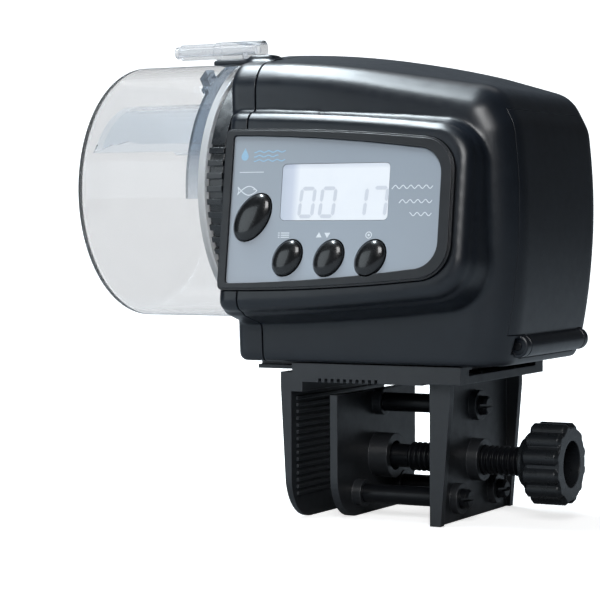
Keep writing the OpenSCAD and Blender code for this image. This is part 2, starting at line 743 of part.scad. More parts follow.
module drum_scoop() {
    x0 = drum_end + drum_wall;
    ri = drum_r - drum_wall - 0.1;
    web = atan2(16.5, 29);
    color([0.8, 0.86, 0.93, 0.35]) intersection() {
        union() {
            translate([0, 0, drum_z]) prism_x(x0 + 0.4, -32.4) union() {
                polygon(concat(
                    [for (a = [30:6:150]) [-5 + 24 * cos(a), 24 * sin(a)]],
                    [for (a = [150:-6:30]) [-5 + 22.7 * cos(a), 22.7 * sin(a)]]));
                // thick lip that lifts the food
                polygon([[-27.6, 10.3], [-23.6, 10.3], [-24, 12.6], [-26.2, 12.6]]);
                // web that closes the chamber behind the slot
                polygon([[14.6, 12.2], [15.4, 10.8], [29.8, 14], [29.3, 15.6]]);
            }
            // end wall of the chamber, against the drum's end
            translate([0, 0, drum_z]) prism_x(x0, x0 + 1.2) polygon(concat(
                [for (a = [30:6:150]) [-5 + 24 * cos(a), 24 * sin(a)]], [[-27.6, 10.3], [-10, 14], [10, 12]]));
        }
        rod_x(ri, x0, -20, 0, drum_z);
    }
}

module feed_slider() {
    r0 = drum_r + 0.15;
    r1 = drum_r + 1.55;
    tab_a = 128;
    color([0.3, 0.33, 0.37, 0.7]) union() {
        arc_x(r0, r1, band_x, collar_x - 0.2, -8, 184);
        // leaf that covers the feed slot
        arc_x(r0, r1, slot_x[0] - 2.5, band_x + 0.1, 18, 50);
        // thumb tab beside the band
        arc_x(r0, r1, band_x - 1.9, band_x + 0.1, tab_a - 5, tab_a + 5);
        arc_x(r1 - 0.1, drum_r + 4.2, band_x - 1.9, band_x + 0.5, tab_a - 3, tab_a + 3);
    }
}

module air_nozzle() {
    x0 = -43.4;
    step = -30.6;
    x1 = -16.4;
    narrow = 2.15;
    nose_r = 1.65;
    color([0.9, 0.94, 0.97, 0.4]) translate([0, -20, nozzle_z]) difference() {
        rotate([0, 90, 0]) rotate_extrude() polygon([
            [0, x0], [nose_r - 0.25, x0], [nose_r, x0 + 0.25], [nose_r, x0 + 1.2], [narrow, x0 + 1.9],
            [narrow, step], [nozzle_r, step], [nozzle_r, x1], [0, x1]]);
        translate([x0 - 1, 0, 0]) rotate([0, 90, 0]) cylinder(r = 1, h = x1 - x0 - 1.2);
        translate([-22, 0, -3]) cylinder(r = 0.8, h = 3);
    }
}

// ---- batteries ----

module battery_tray() {
    color([0.12, 0.12, 0.13]) difference() {
        span([tray_x - 1.5, -tray_half - 0.9, cell_zs[0] - cell_r - 1.6],
             [tray_x + 16, tray_half + 0.9, cell_zs[1] + cell_r + 1.6]);
        for (z = cell_zs)
            span([tray_x, -tray_half, z - cell_r - 0.4], [tray_x + 20, tray_half, z + cell_r + 0.4]);
        span([tray_x + 12, -12, cell_zs[0] - 3], [tray_x + 20, 12, cell_zs[1] + 3]);
    }
}

module battery_cells() {
    body_r = cell_r - 0.05;
    for (i = [0, 1]) let (s = cell_dir[i])
        color([0.15, 0.3, 0.25]) translate([cell_x - 1.6, s * (tray_half - 0.4), cell_zs[i]]) rotate([s * 90, 0, 0])
            rotate_extrude() polygon([[0, 0], [2.7, 0], [2.7, 1.1], [body_r - 0.5, 1.3], [body_r, 1.8],
                [body_r, cell_len - 0.5], [body_r - 0.5, cell_len], [0, cell_len]]);
}

module battery_contacts() {
    color([0.8, 0.8, 0.8]) for (z = cell_zs, s = [-1, 1])
        span([cell_x - 6, s * (tray_half - 0.2) - 0.19, z - 5.5], [cell_x + 3, s * (tray_half - 0.2) + 0.19, z + 5.5]);
}

// Points of a conical spring that rises h in a few turns
function coil(t, h, turns, r0, r1) = [(r0 + (r1 - r0) * t) * cos(360 * turns * t),
                                      (r0 + (r1 - r0) * t) * sin(360 * turns * t), h * t];

module spring_coil(h, turns, r0, r1, wire, steps = 30, sides = 6) {
    pts = [for (i = [0:steps]) let (t = i / steps, c = coil(t, h, turns, r0, r1), a = 360 * turns * t)
        for (k = [0:sides - 1]) let (b = 360 * k / sides)
            c + wire * [cos(b) * cos(a), cos(b) * sin(a), sin(b)]];
    faces = concat(
        [[for (k = [sides - 1:-1:0]) k]],
        [for (i = [0:steps - 1], k = [0:sides - 1]) let (n = (k + 1) % sides)
            [i * sides + k, i * sides + n, (i + 1) * sides + n, (i + 1) * sides + k]],
        [[for (k = [0:sides - 1]) steps * sides + k]]);
    polyhedron(points = pts, faces = faces, convexity = 6);
}

module battery_springs() {
    color([0.75, 0.75, 0.77]) for (i = [0, 1]) let (s = -cell_dir[i])
        translate([cell_x - 1.6, s * (tray_half - 0.8), cell_zs[i]]) rotate([s * 90, 0, 0])
            spring_coil(2.6, 3, 3.8, 2.2, 0.35);
}

module battery_door() {
    color([0.10, 0.105, 0.125]) difference() {
        union() {
            intersection() {
                difference() {
                    body_form();
                    body_form(wall, 16, 16);
                }
                span([door_x, -door_half, door_z0], [right_x + 1, door_half, door_z1]);
            }
            rod_y(barrel_r, -barrel_half, barrel_half, hinge_x, hinge_z);
            span([hinge_x - 1.4, -barrel_half, hinge_z], [hinge_x + 0.9, barrel_half, door_z0 + 1]);
        }
        rod_y(1.06, -30, 30, hinge_x, hinge_z);
    }
}

module door_hinge_pin() { color([0.75, 0.75, 0.78]) rod_y(1, 0.2 - lug_mid - lug_t / 2, lug_mid + lug_t / 2 - 0.2, hinge_x, hinge_z); }

// ---- nodes ----

clamp_frame();
clamp_end_plate();
moving_jaw_plate();
guide_pins();
clamp_screw();
clamp_knob();
slide_foot();
foot_screws();
left_shell();
main_shell();
case_screws();
display_bezel();
control_label();
lcd_lens();
lcd_module();
button_pad();
circuit_board();
board_screws();
reed_switch();
feed_button();
mode_button();
adjust_button();
set_button();
gearbox_base();
gearbox_cover();
gear_axle();
motor();
motor_pinion();
compound_gear();
hub_bushing();
hub_shaft();
output_gear();
retaining_clip();
index_magnet();
drive_hub();
drum_shell();
drum_scoop();
feed_slider();
air_nozzle();
battery_tray();
battery_cells();
battery_springs();
battery_contacts();
battery_door();
door_hinge_pin();
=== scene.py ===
"""Looks of a clip-on automatic fish feeder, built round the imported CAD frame."""

import math

import bmesh
import bpy
import numpy as np
from mathutils import Matrix, Vector


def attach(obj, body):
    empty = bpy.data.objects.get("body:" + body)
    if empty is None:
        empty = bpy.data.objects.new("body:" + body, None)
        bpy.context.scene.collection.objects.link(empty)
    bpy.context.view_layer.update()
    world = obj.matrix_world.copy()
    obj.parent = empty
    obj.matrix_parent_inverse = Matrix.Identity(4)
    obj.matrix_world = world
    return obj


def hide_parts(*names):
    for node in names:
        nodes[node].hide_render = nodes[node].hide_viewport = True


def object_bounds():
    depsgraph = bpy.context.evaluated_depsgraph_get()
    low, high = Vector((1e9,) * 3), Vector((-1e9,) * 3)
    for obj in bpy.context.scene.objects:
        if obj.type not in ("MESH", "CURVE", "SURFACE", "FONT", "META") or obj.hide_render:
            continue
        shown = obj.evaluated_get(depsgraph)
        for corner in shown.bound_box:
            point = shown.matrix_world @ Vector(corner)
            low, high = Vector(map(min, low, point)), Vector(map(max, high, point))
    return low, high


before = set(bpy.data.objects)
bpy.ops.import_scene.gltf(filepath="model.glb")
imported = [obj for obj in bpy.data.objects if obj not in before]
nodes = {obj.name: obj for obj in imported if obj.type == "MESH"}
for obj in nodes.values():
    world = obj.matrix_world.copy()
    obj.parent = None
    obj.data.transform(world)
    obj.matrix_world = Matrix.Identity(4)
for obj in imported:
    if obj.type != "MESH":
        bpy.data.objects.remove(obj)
cad_box = [list(v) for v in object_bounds()]
scene = bpy.context.scene
MM = 0.001

# ---------------------------------------------------------------- camera

CAM_AT = (0.2648, -0.5271, 0.0420)
CAM_AZ, CAM_PITCH, CAM_ROLL = 28.10, 2.09, -0.268
CAM_LENS = 130.26


def make_camera():
    az, pitch, roll = (math.radians(a) for a in (CAM_AZ, CAM_PITCH, CAM_ROLL))
    ahead = Vector((-math.sin(az) * math.cos(pitch), math.cos(az) * math.cos(pitch), -math.sin(pitch)))
    right = Vector((math.cos(az), math.sin(az), 0))
    up = right.cross(ahead)
    r = right * math.cos(roll) + up * math.sin(roll)
    u = up * math.cos(roll) - right * math.sin(roll)
    data = bpy.data.cameras.new("camera")
    data.lens, data.sensor_width = CAM_LENS, 36
    data.clip_start, data.clip_end = 0.02, 20
    cam = bpy.data.objects.new("camera", data)
    scene.collection.objects.link(cam)
    m = Matrix((r, u, -ahead)).transposed().to_4x4()
    m.translation = Vector(CAM_AT)
    cam.matrix_world = m
    scene.camera = cam


make_camera()

# ---------------------------------------------------------------- materials


class Tree:
    """A short way to write a node tree."""

    def __init__(self, name):
        self.mat = bpy.data.materials.new(name)
        self.mat.use_nodes = True
        self.nt = self.mat.node_tree
        self.shader = self.nt.nodes["Principled BSDF"]
        self.coord = self.nt.nodes.new("ShaderNodeTexCoord").outputs["Object"]

    def node(self, kind, ins=None, **props):
        n = self.nt.nodes.new("ShaderNode" + kind)
        for k, v in props.items():
            setattr(n, k, v)
        for k, v in (ins or {}).items():
            self.put(n.inputs[k], v)
        return n

    def put(self, socket, value):
        if isinstance(value, bpy.types.NodeSocket):
            self.nt.links.new(value, socket)
        else:
            socket.default_value = value

    def set(self, **ins):
        for k, v in ins.items():
            self.put(self.shader.inputs[k.replace("_", " ")], v)

    def noise(self, size_mm, detail=2.0, rough=0.5, coord=None):
        n = self.node("TexNoise", {"Scale": 1 / (size_mm * MM), "Detail": detail, "Roughness": rough})
        self.put(n.inputs["Vector"], coord or self.coord)
        return n.outputs["Fac"]

    def ramp(self, fac, stops, smooth=False):
        n = self.node("ValToRGB", {"Fac": fac})
        e = n.color_ramp.elements
        for i, (at, c) in enumerate(stops):
            el = e[i] if i < 2 else e.new(at)
            el.position, el.color = at, (*c, 1) if len(c) == 3 else c
        n.color_ramp.interpolation = "EASE" if smooth else "LINEAR"
        return n.outputs["Color"]

    def span(self, value, low, high, to_low, to_high):
        ins = {"Value": value, "From Min": low, "From Max": high, "To Min": to_low, "To Max": to_high}
        return self.node("MapRange", ins).outputs["Result"]

    def math(self, op, a, b=0.0):
        n = self.node("Math", {0: a, 1: b}, operation=op)
        return n.outputs[0]

    def mix(self, fac, a, b, blend="MIX"):
        n = self.node("Mix", data_type="RGBA", blend_type=blend)
        self.put(n.inputs[0], fac)
        self.put(n.inputs[6], (*a, 1) if isinstance(a, tuple) else a)
        self.put(n.inputs[7], (*b, 1) if isinstance(b, tuple) else b)
        return n.outputs[2]

    def axis(self, which):
        n = self.node("SeparateXYZ", {0: self.coord})
        return n.outputs[which]

    def bevel(self, radius_mm):
        return self.node("Bevel", {"Radius": radius_mm * MM}, samples=6).outputs["Normal"]

    def edge(self, radius_mm, gain=6.0):
        """1 along sharp edges and 0 on flat faces."""
        true_normal = self.node("NewGeometry").outputs["Normal"]
        dot = self.node("VectorMath", {0: self.bevel(radius_mm), 1: true_normal}, operation="DOT_PRODUCT")
        return self.span(dot.outputs["Value"], 1.0, 1 - 1 / gain, 0.0, 1.0)

    def bump(self, height, distance_mm, strength, normal=None):
        n = self.node("Bump", {"Height": height, "Distance": distance_mm * MM, "Strength": strength})
        if normal is not None:
            self.put(n.inputs["Normal"], normal)
        return n.outputs["Normal"]


def plastic(
    name, dark, light, rough=(0.36, 0.46), grain_mm=0.35, grain=0.25,
    edge_mm=0.3, wear=0.35, coat=0.0, spec=0.5,
):
    """Moulded plastic: mottled colour, a fine spark-eroded grain, uneven gloss and paler edges that are part
    wear and part painted highlight.
    """
    t = Tree(name)
    cloud = t.noise(9, 4, 0.6)
    fine = t.noise(grain_mm, 3, 0.6)
    colour = t.ramp(t.span(cloud, 0.3, 0.7, 0, 1), [(0, dark), (1, light)])
    # paler edges: part real wear, part painted highlight along the edges
    worn_and_highlit = tuple(min(1, c * 2.4 + 0.012) for c in light)
    scuffed_and_highlit = t.mix(t.math("MULTIPLY", t.edge(edge_mm), wear), colour, worn_and_highlit)
    speck = t.mix(t.span(fine, 0.62, 0.8, 0, 0.35), scuffed_and_highlit, tuple(c * 1.6 for c in light))
    uneven = t.noise(3.5, 5, 0.65)
    t.set(
        Base_Color=speck,
        Roughness=t.span(uneven, 0.3, 0.7, *rough),
        Specular_IOR_Level=spec,
        Coat_Weight=coat,
        Coat_Roughness=0.12,
        Normal=t.bump(fine, 0.03, grain, t.bevel(edge_mm)),
    )
    return t.mat


def metal(name, colour, rough=0.3, brushed=None, edge_mm=0.15):
    t = Tree(name)
    coord = t.coord
    if brushed:
        coord = t.node("Mapping", {"Vector": t.coord, "Scale": brushed}).outputs[0]
    streak = t.noise(0.8, 4, 0.6, coord)
    tarnish = t.noise(6, 4, 0.6)
    shade = t.ramp(t.span(tarnish, 0.3, 0.7, 0, 1), [(0, tuple(c * 0.8 for c in colour)), (1, colour)])
    t.set(
        Base_Color=shade,
        Metallic=1.0,
        Roughness=t.span(streak, 0.25, 0.75, rough * 0.7, rough * 1.35),
        Normal=t.bump(streak, 0.01, 0.3, t.bevel(edge_mm)),
    )
    return t.mat


def clear(name, tint, rough=0.02, ior=1.2, milk=0.0, coat=0.3, rim=None, top=None):
    """Clear moulded plastic with faint flow marks.

    milk is the share that is not clear, rim the (x, milk) of a frosted edge, and top a painted shade: a
    darker tint higher up.
    """
    t = Tree(name)
    flow = t.noise(7, 3, 0.5)
    clearness = 1.0 - milk
    if rim:
        clearness = t.span(t.axis("X"), rim[0] - 0.0003, rim[0], 1.0 - milk, 1.0 - rim[1])
    colour = t.ramp(t.span(flow, 0.3, 0.7, 0, 1), [(0, tuple(c * 0.985 for c in tint)), (1, tint)])
    # painted shade: the upper part is tinted darker
    if top:
        colour = t.mix(t.span(t.axis("Z"), 0.047, 0.062, 0, 1), colour, top)
    t.set(
        Base_Color=colour,
        Roughness=t.span(flow, 0.3, 0.7, rough, rough * 1.8),
        Transmission_Weight=clearness,
        IOR=ior,
        Coat_Weight=coat,
        Coat_Roughness=0.04,
        Normal=t.bump(flow, 0.05, 0.05),
    )
    return t.mat


M = {}
M["case"] = plastic(
    "case_plastic", (0.0045, 0.0068, 0.0112), (0.0072, 0.0104, 0.0160),
    (0.29, 0.36), 0.4, 0.25, 0.35, 0.22, spec=0.64
)
M["clamp"] = plastic(
    "clamp_plastic", (0.017, 0.019, 0.022), (0.025, 0.0275, 0.0315),
    (0.34, 0.46), 0.35, 0.3, 0.35, 0.55, spec=0.7
)
M["screw"] = plastic(
    "screw_plastic", (0.004, 0.0045, 0.006), (0.007, 0.008, 0.01),
    (0.28, 0.38), 0.35, 0.2, 0.2, 0.25, spec=0.35
)
M["knob"] = plastic(
    "knob_plastic", (0.009, 0.011, 0.013), (0.015, 0.017, 0.02),
    (0.24, 0.34), 0.35, 0.18, 0.45, 0.5
)
# wear 1.0 paints the hub's pale rib edges, mostly as painted highlight
M["hub"] = plastic(
    "hub_plastic", (0.006, 0.0075, 0.0095), (0.011, 0.013, 0.016),
    (0.22, 0.34), 0.35, 0.15, 0.3, 1.0, spec=0.8
)
M["bezel"] = plastic(
    "bezel_plastic", (0.008, 0.009, 0.011), (0.013, 0.014, 0.017),
    (0.3, 0.4), 0.35, 0.3, 0.25, 0.9, spec=0.6
)
M["tray"] = plastic("tray_plastic", (0.02, 0.02, 0.022), (0.03, 0.03, 0.033), (0.4, 0.5), 0.35, 0.3, 0.3, 0.3)
M["gear"] = plastic("gear_nylon", (0.62, 0.6, 0.52), (0.74, 0.72, 0.64), (0.35, 0.5), 0.6, 0.15, 0.15, 0.15)
M["gearbox"] = plastic("gearbox_abs", (0.5, 0.51, 0.49), (0.6, 0.61, 0.59), (0.4, 0.5), 0.5, 0.2, 0.2, 0.15)
M["rubber"] = plastic("silicone", (0.48, 0.48, 0.45), (0.58, 0.58, 0.55), (0.6, 0.75), 0.4, 0.3, 0.3, 0.1)
M["steel"] = metal("bright_steel", (0.62, 0.63, 0.65), 0.28)
M["zinc"] = metal("zinc_screw", (0.55, 0.56, 0.58), 0.38)
M["bronze"] = metal("sintered_bronze", (0.58, 0.42, 0.2), 0.42)
M["magnet"] = metal("nickel_magnet", (0.66, 0.65, 0.62), 0.2)
M["drum"] = clear(
    "drum_clear", (0.962, 0.968, 0.976), 0.03, ior=1.13, milk=0.03, coat=0.25, rim=(-0.0276, 0.42)
)
M["scoop"] = clear("scoop_clear", (0.88, 0.915, 0.95), 0.06, ior=1.08, milk=0.04, coat=0.0)
M["nozzle"] = clear("nozzle_clear", (0.86, 0.875, 0.895), 0.14, ior=1.17, milk=0.15)
M["smoke"] = clear(
    "slider_smoke", (0.72, 0.75, 0.78), 0.1, ior=1.12, milk=0.1, coat=0.2, top=(0.36, 0.41, 0.47)
)


def button_material():
    """Glossy rubber with a lacquered top and a few dust specks."""
    t = Tree("button_gloss")
    cloud = t.noise(2.5, 4, 0.6)
    dust = t.noise(0.22, 2, 0.5)
    base = t.ramp(t.span(cloud, 0.3, 0.7, 0, 1), [(0, (0.004, 0.0045, 0.005)), (1, (0.008, 0.0085, 0.0095))])
    t.set(
        Base_Color=t.mix(t.span(dust, 0.72, 0.8, 0, 0.3), base, (0.06, 0.06, 0.06)),
        Roughness=t.span(cloud, 0.3, 0.7, 0.2, 0.3),
        Coat_Weight=0.6,
        Coat_Roughness=0.08,
        Normal=t.bump(t.noise(0.5, 3), 0.02, 0.12),
    )
    return t.mat


def label_material():
    """Printed polycarbonate film: a blue-grey that pales towards the lower edge, with a satin texture."""
    t = Tree("label_film")
    up = t.span(t.axis("Z"), 0.026, 0.064, 0, 1)
    across = t.span(t.axis("X"), -0.014, 0.044, 0, 1)
    low = t.ramp(across, [(0, (0.365, 0.395, 0.44)), (0.5, (0.385, 0.43, 0.485)), (1, (0.33, 0.365, 0.41))])
    high = t.ramp(across, [(0, (0.34, 0.375, 0.415)), (0.5, (0.30, 0.335, 0.38)), (1, (0.305, 0.345, 0.395))])
    film = t.noise(0.3, 3, 0.6)
    colour = t.mix(t.span(t.noise(14, 3), 0.3, 0.7, 0, 0.25), t.mix(up, low, high), (0.33, 0.375, 0.43))
    t.set(
        Base_Color=colour,
        Roughness=t.span(film, 0.3, 0.7, 0.34, 0.44),
        Normal=t.bump(film, 0.012, 0.25),
    )
    return t.mat


def lcd_material():
    """Display window: pale liquid-crystal glass with a painted shadow along its left edge and painted shade
    along its top edge, and a gloss face.
    """
    t = Tree("lcd_glass")
    across = t.span(t.axis("X"), -0.0001, 0.0303, 0, 1)
    up = t.span(t.axis("Z"), 0.042, 0.0565, 0, 1)
    # painted shadow: the glass is greyer along its left edge
    shade = [(0, (0.52, 0.56, 0.64)), (0.10, (0.60, 0.63, 0.72))]
    shade += [(0.17, (0.86, 0.87, 0.90)), (1, (0.87, 0.88, 0.91))]
    side = t.ramp(across, shade)
    # painted shade: the glass darkens along its top edge
    top = t.ramp(up, [(0, (1, 1, 1)), (0.9, (1, 1, 1)), (1, (0.72, 0.74, 0.80))])
    cloud = t.noise(5, 3)
    veil = t.mix(t.span(cloud, 0.3, 0.7, 0, 0.3), top, (0.93, 0.94, 0.97))
    t.set(
        Base_Color=t.mix(1.0, side, veil, "MULTIPLY"),
        Roughness=t.span(cloud, 0.3, 0.7, 0.1, 0.16),
        Coat_Weight=0.4,
        Coat_Roughness=0.05,
        Normal=t.bump(t.noise(1.5), 0.01, 0.05),
    )
    return t.mat


def ink_material(name, colour, fade=0.12):
    t = Tree(name)
    wear = t.noise(0.35, 4, 0.6)
    thin = tuple(c * (1 - fade) for c in colour)
    t.set(
        Base_Color=t.ramp(t.span(wear, 0.3, 0.7, 0, 1), [(0, thin), (1, colour)]),
        Roughness=t.span(wear, 0.3, 0.7, 0.4, 0.55),
        Normal=t.bump(wear, 0.008, 0.2),
    )
    return t.mat


def board_material():
    """Circuit board: green solder mask over copper tracks."""
    t = Tree("board_green")
    tracks = t.node("TexBrick", {
        "Scale": 420.0, "Mortar Size": 0.012,
        "Color1": (0, 0, 0, 1), "Color2": (0.1, 0.1, 0.1, 1), "Mortar": (1, 1, 1, 1),
    })
    flat_on = t.node("Mapping", {"Vector": t.coord, "Rotation": (math.radians(82), 0, 0)})
    t.put(tracks.inputs["Vector"], flat_on.outputs[0])
    mask = t.mix(t.noise(2), (0.012, 0.11, 0.045), (0.02, 0.15, 0.06))
    t.set(
        Base_Color=t.mix(tracks.outputs["Color"], mask, (0.05, 0.26, 0.10)),
        Roughness=t.span(t.noise(1.0), 0.3, 0.7, 0.25, 0.4),
        Normal=t.bump(tracks.outputs["Color"], 0.03, 0.4, t.bevel(0.1)),
    )
    return t.mat


def cell_material():
    """Battery wrap: dark green sleeve with a paler band, and bare metal at the ends."""
    t = Tree("cell_wrap")
    y = t.axis("Y")
    end = t.math("GREATER_THAN", t.math("ABSOLUTE", y), 0.0247)
    band = t.math("LESS_THAN", t.math("ABSOLUTE", t.math("ADD", y, 0.010)), 0.0035)
    sleeve = t.mix(t.noise(3), (0.015, 0.05, 0.035), (0.02, 0.065, 0.045))
    colour = t.mix(end, t.mix(band, sleeve, (0.45, 0.42, 0.30)), (0.6, 0.6, 0.62))
    t.set(
        Base_Color=colour,
        Metallic=t.math("MULTIPLY", end, 1.0),
        Roughness=t.span(t.noise(1.2), 0.3, 0.7, 0.22, 0.34),
        Normal=t.bump(t.noise(2.5), 0.03, 0.15, t.bevel(0.2)),
    )
    return t.mat


M["button"] = button_material()
M["label"] = label_material()
M["lcd"] = lcd_material()
M["ink"] = ink_material("white_ink", (0.80, 0.84, 0.88))
M["accent"] = ink_material("blue_ink", (0.35, 0.55, 0.72))
M["segment"] = ink_material("lcd_segment", (0.67, 0.69, 0.745), 0.05)
M["board"] = board_material()
M["cell"] = cell_material()
M["reed"] = plastic("reed_body", (0.02, 0.10, 0.06), (0.03, 0.15, 0.08), (0.25, 0.35))
M["lcd_cell"] = plastic("lcd_cell", (0.32, 0.37, 0.34), (0.38, 0.43, 0.40), (0.2, 0.3))

# ---------------------------------------------------------------- mesh helpers, in millimetres


def mesh_object(name, verts, faces):
    me = bpy.data.meshes.new(name)
    me.from_pydata([tuple(v) for v in verts], [], faces)
    me.update()
    ob = bpy.data.objects.new(name, me)
    scene.collection.objects.link(ob)
    return ob


def from_bmesh(name, bm):
    bmesh.ops.recalc_face_normals(bm, faces=bm.faces)
    me = bpy.data.meshes.new(name)
    bm.to_mesh(me)
    bm.free()
    ob = bpy.data.objects.new(name, me)
    scene.collection.objects.link(ob)
    return ob


def hull(points, name="hull"):
    bm = bmesh.new()
    for p in points:
        bm.verts.new(p)
    made = bmesh.ops.convex_hull(bm, input=bm.verts)
    loose = made["geom_interior"] + made["geom_unused"]
    spare = {g for g in loose if isinstance(g, bmesh.types.BMVert)}
    bmesh.ops.delete(bm, geom=list(spare), context="VERTS")
    return from_bmesh(name, bm)


def box(a, b, name="box"):
    return hull([(x, y, z) for x in (a[0], b[0]) for y in (a[1], b[1]) for z in (a[2], b[2])], name)


def prism(outline, place, z0, z1, name="prism"):
    """An outline pushed from z0 to z1 in the frame that place() maps to the row frame."""
    n = len(outline)
    verts = [place(x, y, z0) for x, y in outline] + [place(x, y, z1) for x, y in outline]
    faces = [list(range(n))[::-1], list(range(n, 2 * n))]
    faces += [[i, (i + 1) % n, n + (i + 1) % n, n + i] for i in range(n)]
    ob = mesh_object(name, verts, faces)
    bm = bmesh.new()
    bm.from_mesh(ob.data)
    bmesh.ops.recalc_face_normals(bm, faces=bm.faces)
    bm.to_mesh(ob.data)
    bm.free()
    return ob


def along_x(y=0.0, z=0.0):
    return lambda a, b, h: (h, y + a, z + b)


def along_y(x=0.0, z=0.0):
    return lambda a, b, h: (x + a, h, z + b)


def along_z(x=0.0, y=0.0):
    return lambda a, b, h: (x + a, y + b, h)


def polar(r, a, x=0.0, y=0.0):
    return x + r * math.cos(a), y + r * math.sin(a)


def circle(r, n=48, turn=0.0):
    return [polar(r, 2 * math.pi * i / n + turn) for i in range(n)]


def rod_x(r, x0, x1, y, z, n=48):
    return prism(circle(r, n), along_x(y, z), x0, x1, "rod")


def rod_y(r, y0, y1, x, z, n=48):
    return prism(circle(r, n), along_y(x, z), y0, y1, "rod")


def lathe_x(name, profile, y, z, n=160):
    """Turns (x, r) points about the line through (y, z) that runs along X. Points with r 0 become poles."""
    verts, rings = [], []
    for x, r in profile:
        if r < 1e-6:
            rings.append([len(verts)])
            verts.append((x, y, z))
        else:
            rings.append(list(range(len(verts), len(verts) + n)))
            verts += [(x, y + a, z + b) for a, b in circle(r, n)]
    faces = []
    for p, q in zip(rings, rings[1:]):
        for i in range(n):
            j = (i + 1) % n
            if len(p) == 1 and len(q) == 1:
                continue
            if len(p) == 1:
                faces.append([p[0], q[j], q[i]])
            elif len(q) == 1:
                faces.append([p[i], p[j], q[0]])
            else:
                faces.append([p[i], p[j], q[j], q[i]])
    ob = mesh_object(name, verts, faces)
    bm = bmesh.new()
    bm.from_mesh(ob.data)
    bmesh.ops.recalc_face_normals(bm, faces=bm.faces)
    bm.to_mesh(ob.data)
    bm.free()
    return ob


def apply_modifiers(ob):
    dg = bpy.context.evaluated_depsgraph_get()
    me = bpy.data.meshes.new_from_object(ob.evaluated_get(dg))
    old = ob.data
    ob.modifiers.clear()
    ob.data = me
    bpy.data.meshes.remove(old)
    return ob


def combine(ob, tool, operation):
    m = ob.modifiers.new("boolean", "BOOLEAN")
    m.object, m.operation, m.solver = tool, operation, "MANIFOLD"
    apply_modifiers(ob)
    bpy.data.objects.remove(tool)
    return ob


def cut(ob, *tools):
    for t in tools:
        combine(ob, t, "DIFFERENCE")
    return ob


def add(ob, *tools):
    for t in tools:
        combine(ob, t, "UNION")
    return ob


def keep(ob, tool):
    return combine(ob, tool, "INTERSECT")


def copy_of(ob, name):
    new = ob.copy()
    new.data = ob.data.copy()
    new.name = name
    scene.collection.objects.link(new)
    return new


def soften(ob, voxel, passes, factor=0.5):
    m = ob.modifiers.new("remesh", "REMESH")
    m.mode, m.voxel_size = "VOXEL", voxel
    m = ob.modifiers.new("smooth", "SMOOTH")
    m.factor, m.iterations = factor, passes
    return apply_modifiers(ob)


def finish_piece(ob, name, body, mats, replaced=(), sharp=32):
    """Scales the piece to metres, shades it, and puts it on its body."""
    ob.data.transform(Matrix.Scale(MM, 4))
    ob.name = name
    ob.data.name = name
    ob.data.materials.clear()
    for m in mats if isinstance(mats, (list, tuple)) else [mats]:
        ob.data.materials.append(m)
    ob.data.shade_smooth()
    ob.data.set_sharp_from_angle(angle=math.radians(sharp))
    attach(ob, body)
    if replaced:
        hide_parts(*replaced)
    return ob


# ---------------------------------------------------------------- housing

LEFT_X, SEAM_X, RIGHT_X = -19.5, -11.7, 60.0
BASE_Z, TOP_Z, WALL = 5.2, 86.9, 2.0
BODY_HALF, FOOT_HALF = 33.5, 30.0
DRUM_Z = 50.45
LEAN = math.radians(8)
PANEL_Y, PANEL_Z = -41.38, 45.0


def crown_z(x):
    return TOP_Z - 0.00203 * (x - LEFT_X) ** 2


def side_in(z):
    return ((z - 43) / 9.6) ** 2 / 3.6


def side_half(z):
    return FOOT_HALF + 1.9 * math.sin(math.radians(min(90, (z - BASE_Z) * 1.7)))


def ball(c, r, n):
    out = [(c[0], c[1], c[2] - r), (c[0], c[1], c[2] + r)]
    for i in range(1, n // 2):
        a = math.pi * i / (n // 2)
        s, h = r * math.sin(a), r * math.cos(a)
        out += [(*polar(s, 2 * math.pi * k / n, c[0], c[1]), c[2] + h) for k in range(n)]
    return out


def body_points(t, n, step):
    top_r, side_r, pts = 8 - t, 9.5 - t, []
    for s in (-1, 1):
        for r, z in ((0.8, BASE_Z + t), (2.0, BASE_Z + t + 1.2)):
            pts += [(LEFT_X + t + 2 + a, s * (FOOT_HALF - t - 2) + b, z) for a, b in circle(r, 24)]
        foot_x, foot_y = RIGHT_X - side_in(BASE_Z) - 9.5, s * (FOOT_HALF - 9.5)
        for r, up in ((side_r - 1.6, 0.0), (side_r - 0.6, 0.4), (side_r, 1.5)):
            pts += [(foot_x + a, foot_y + b, BASE_Z + t + up) for a, b in circle(r, n)]
        z = 15.0
        while z <= 63.01:
            pts += ball((RIGHT_X - side_in(z) - 9.5, s * (side_half(z) - 9.5), z), side_r, n)
            z += step
        for r, x in ((top_r - 1.5, LEFT_X + t), (top_r - 0.45, LEFT_X + t + 0.5), (top_r, LEFT_X + t + 1.6)):
            pts += [(x, s * (BODY_HALF - 8) + a, crown_z(LEFT_X) - 11 + b) for a, b in circle(r, n)]
        x = -6.0
        while x <= 42.01:
            pts += ball((x, s * (BODY_HALF - 8 - 0.0007 * (x - LEFT_X) ** 2), crown_z(x) - 11), top_r, n)
            x += step
        pts += ball((RIGHT_X - 12.8, s * (BODY_HALF - 11), 66.9), side_r, n)
        for i in range(13):
            x = LEFT_X + 1.6 + t + i * 5.1
            pts += [(x, s * y, crown_z(x) - t) for y in (0.5, 5)]
    return pts


def arc(cx, cy, r, a0, a1, step=6):
    k = max(1, round((a1 - a0) / step))
    return [polar(r, math.radians(a0 + (a1 - a0) * i / k), cx, cy) for i in range(k + 1)]


BOW = 0.7


